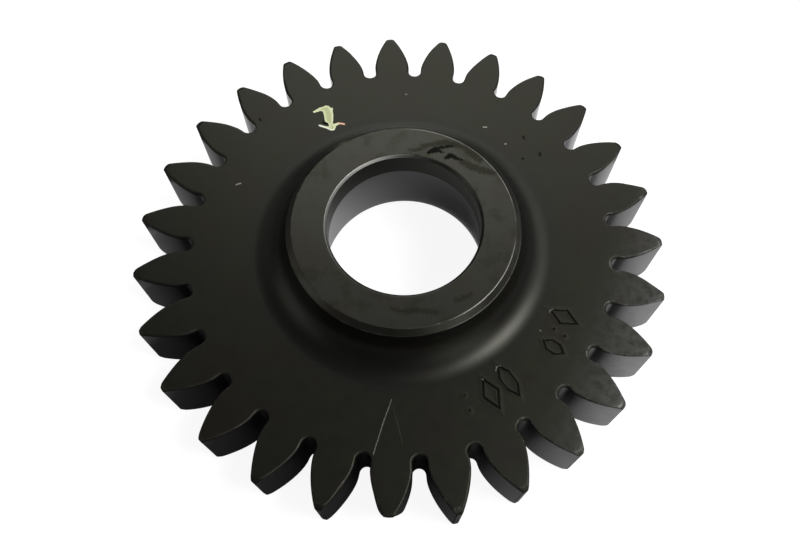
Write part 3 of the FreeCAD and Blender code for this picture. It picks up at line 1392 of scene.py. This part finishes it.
@dataclass(frozen=True)
class PhotoCamera:
    """The camera that took the photograph, as fitted to the gear's teeth, hub and bore.

    Attributes:
        focal_px: focal length in pixels of the photograph.
        elevation: of the camera above the tooth face, in degrees.
        azimuth: of the camera, anticlockwise from -Y, in degrees.
        distance: from the middle of the tooth face.
        pan: turn to the right of that middle, in degrees.
        tilt: turn up from that middle, in degrees.
        roll: clockwise turn of the frame, in degrees.
        centre_px: where the lens's axis meets the photograph.
        frame_px: the photograph's width and height.
    """

    focal_px: float = 778.3
    elevation: float = 63.75
    azimuth: float = -0.151
    distance: float = 162.68 * MM
    pan: float = -3.53
    tilt: float = 0.19
    roll: float = 0.21
    centre_px: Point = (452.6, 240.0)
    frame_px: Point = (800.0, 549.0)

    def build(self, aim: Vector) -> bpy.types.Object:
        """Make the camera and look through it.

        Args:
            aim: the middle of the tooth face.

        Returns:
            The camera.
        """
        rise = math.radians(self.elevation)
        away = Vector((0.0, -math.cos(rise), math.sin(rise)))
        away.rotate(Matrix.Rotation(math.radians(self.azimuth), 3, "Z"))
        right = (-away).cross(Vector((0, 0, 1))).normalized()
        axes = [right, right.cross(-away), -away]
        for number, degrees in ((1, self.pan), (0, self.tilt), (2, self.roll)):
            turn = Matrix.Rotation(math.radians(degrees), 3, axes[number])
            axes = [turn @ axis for axis in axes]
        right, up, forward = axes
        lens = bpy.data.cameras.new("camera")
        lens.sensor_fit = "HORIZONTAL"
        lens.sensor_width = 36.0
        lens.lens = self.focal_px * lens.sensor_width / self.frame_px[0]
        lens.shift_x = (self.frame_px[0] / 2 - self.centre_px[0]) / self.frame_px[0]
        lens.shift_y = (self.centre_px[1] - self.frame_px[1] / 2) / self.frame_px[0]
        lens.clip_start = 5 * MM
        camera = add_object("camera", lens)
        turn = Matrix((right, up, -forward)).transposed().to_4x4()
        camera.matrix_world = Matrix.Translation(aim + away * self.distance) @ turn
        bpy.context.scene.camera = camera
        return camera


@dataclass(frozen=True)
class Softbox:
    """One soft area light.

    Attributes:
        name: of the light.
        azimuth: direction from the gear, anticlockwise from +X, in degrees.
        elevation: in degrees.
        distance: from the gear.
        size: side of the square light.
        power: in watts.
    """

    name: str
    azimuth: float
    elevation: float
    distance: float
    size: float
    power: float

    def build(self) -> bpy.types.Object:
        """Make the light, aimed at the gear.

        Returns:
            The light.
        """
        turn, rise = math.radians(self.azimuth), math.radians(self.elevation)
        level = math.cos(rise)
        away = Vector((level * math.cos(turn), level * math.sin(turn), math.sin(rise)))
        data = bpy.data.lights.new(self.name, "AREA")
        data.shape = "SQUARE"
        data.size = self.size
        data.energy = self.power
        light = add_object(self.name, data)
        light.location = away * self.distance
        light.rotation_euler = away.to_track_quat("Z", "Y").to_euler()
        return light


STUDIO = (
    Softbox("key_softbox", 346, 56, 1.2, 0.42, 9.0),
    Softbox("right_softbox", 12, 34, 1.2, 0.8, 1.1),
    Softbox("right_back_softbox", 45, 38, 1.2, 0.7, 2.4),
    Softbox("back_softbox", 92, 45, 1.2, 0.7, 3.3),
    Softbox("left_back_softbox", 140, 32, 1.2, 0.7, 0.5),
    Softbox("left_softbox", 190, 20, 1.2, 0.7, 1.2),
    Softbox("front_softbox", 308, 24, 1.2, 0.7, 1.7),
    Softbox("low_back_strip", 90, 12, 0.6, 0.2, 0.4),
)


# painted reflection: glowing sheets seen only in mirror rays, their glow set by direction to darken or
# lighten the flanks, gap bottoms and bore walls
@dataclass(frozen=True)
class ShadeCard:
    """A grey card under the gear that only mirror rays meet, for flanks as dark as in the photograph.

    Attributes:
        name: of the card.
        tones: pairs of a direction, in degrees from +X, and the card's glow there.
        rings: pairs of a radius in millimetres and the share of that glow there.
        steps: spans from the first direction to the last.
        height: above the floor.
    """

    name: str
    tones: tuple[Tone, ...]
    rings: tuple[Tone, ...]
    steps: int = 120
    height: float = 0.05 * MM

    def _tone(self, direction: float) -> float:
        """The card's glow in one direction.

        Args:
            direction: in degrees, anywhere between the first and the last of the tones.

        Returns:
            The glow, blended between the nearest two tones.
        """
        for (start, before), (end, after) in zip(self.tones, self.tones[1:]):
            if start <= direction <= end:
                return before + (after - before) * (direction - start) / (end - start)
        return self.tones[-1][1]

    def build(self) -> bpy.types.Object:
        """Make the card, just above the floor, hidden from the camera, from diffuse light and from
        shadows.

        Returns:
            The card.
        """
        places, glows, faces = [], [], []
        first = self.tones[0][0]
        wide = len(self.rings)
        for step in range(self.steps + 1):
            direction = first + (self.tones[-1][0] - first) * step / self.steps
            turn = math.radians(direction)
            for radius, share in self.rings:
                reach = radius * MM
                places.append((reach * math.cos(turn), reach * math.sin(turn), self.height))
                glows.append(self._tone(direction) * share)
        for step in range(self.steps):
            for ring in range(wide - 1):
                here = step * wide + ring
                faces.append((here, here + 1, here + wide + 1, here + wide))
        data = bpy.data.meshes.new(self.name)
        data.from_pydata(places, [], faces)
        data.attributes.new("glow", "FLOAT", "POINT").data.foreach_set("value", glows)
        card = add_object(self.name, data)
        bench = ShaderBench(self.name)
        glow = bench.node("ShaderNodeAttribute", {"attribute_name": "glow"}, {}, "Fac")
        data.materials.append(bench.finished({
            "Base Color": pale(0.0), "Roughness": 1.0, "Specular IOR Level": 0.0,
            "Emission Color": glow, "Emission Strength": 1.0}))
        card.visible_camera = False
        card.visible_diffuse = False
        card.visible_shadow = False
        return card


CARDS = (
    ShadeCard(
        "tooth_card",
        ((40, 1.6), (60, 2.0), (115, 2.0), (135, 1.0), (150, 0.4), (180, 0.18), (200, 0.05), (255, 0.05),
         (275, 0.06), (290, 0.22), (316, 0.9), (335, 1.15), (372, 0.9), (388, 1.1), (400, 1.6)),
        ((40, 0.04), (46, 0.15), (50, 0.6), (55, 1.0), (60, 1.0))),
    ShadeCard(
        "outer_card",
        ((40, 0.08), (60, 0.04), (200, 0.04), (255, 0.05), (275, 0.06), (290, 0.22), (316, 0.9),
         (335, 1.15), (372, 0.8), (388, 0.3), (400, 0.08)),
        ((60.5, 1.0), (400, 1.0))),
    ShadeCard(
        "bore_card",
        ((-95, 0.03), (45, 0.03), (68, 0.11), (90, 0.27), (112, 0.5), (135, 0.8), (265, 0.8)),
        ((0.1, 1.0), (17.2, 1.0))),
)


def light_room(strength: float) -> None:
    """Give the room its even, neutral light.

    Args:
        strength: of that light.
    """
    world = bpy.data.worlds.new("room")
    world.use_nodes = True
    background = world.node_tree.nodes["Background"]
    background.inputs["Color"].default_value = pale(1.0)
    background.inputs["Strength"].default_value = strength
    bpy.context.scene.world = world


def clear_start_scene() -> None:
    """Remove the objects that a new Blender file holds."""
    for thing in list(bpy.data.objects):
        bpy.data.objects.remove(thing)


def main() -> None:
    """Build the gear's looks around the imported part."""
    logging.basicConfig(level=logging.INFO, format="%(message)s")
    clear_start_scene()
    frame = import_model()
    _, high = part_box(NODE)
    land = next(mount for mount in frame["record"]["mounts"] if mount["name"] == "land")
    skin = GearSkin(
        form=ToothForm(tip_radius=high.x),
        hub=HubForm(length=high.z, land_radius=land["dims"]["r_mm"] * MM))
    gear = skin.build()
    gear.data.materials.append(BlackenedSteel().build())
    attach(gear, BODY)
    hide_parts(NODE)
    LOG.info("%s: %d faces", gear.name, len(gear.data.polygons))
    PhotoCamera().build(Vector((0, 0, skin.width)))
    for thing in (StudioFloor(), *CARDS, *STUDIO):
        LOG.info("%s", thing.build().name)
    light_room(strength=0.08)
    bpy.context.scene.view_settings.view_transform = "Standard"


if __name__ == "__main__":
    main()
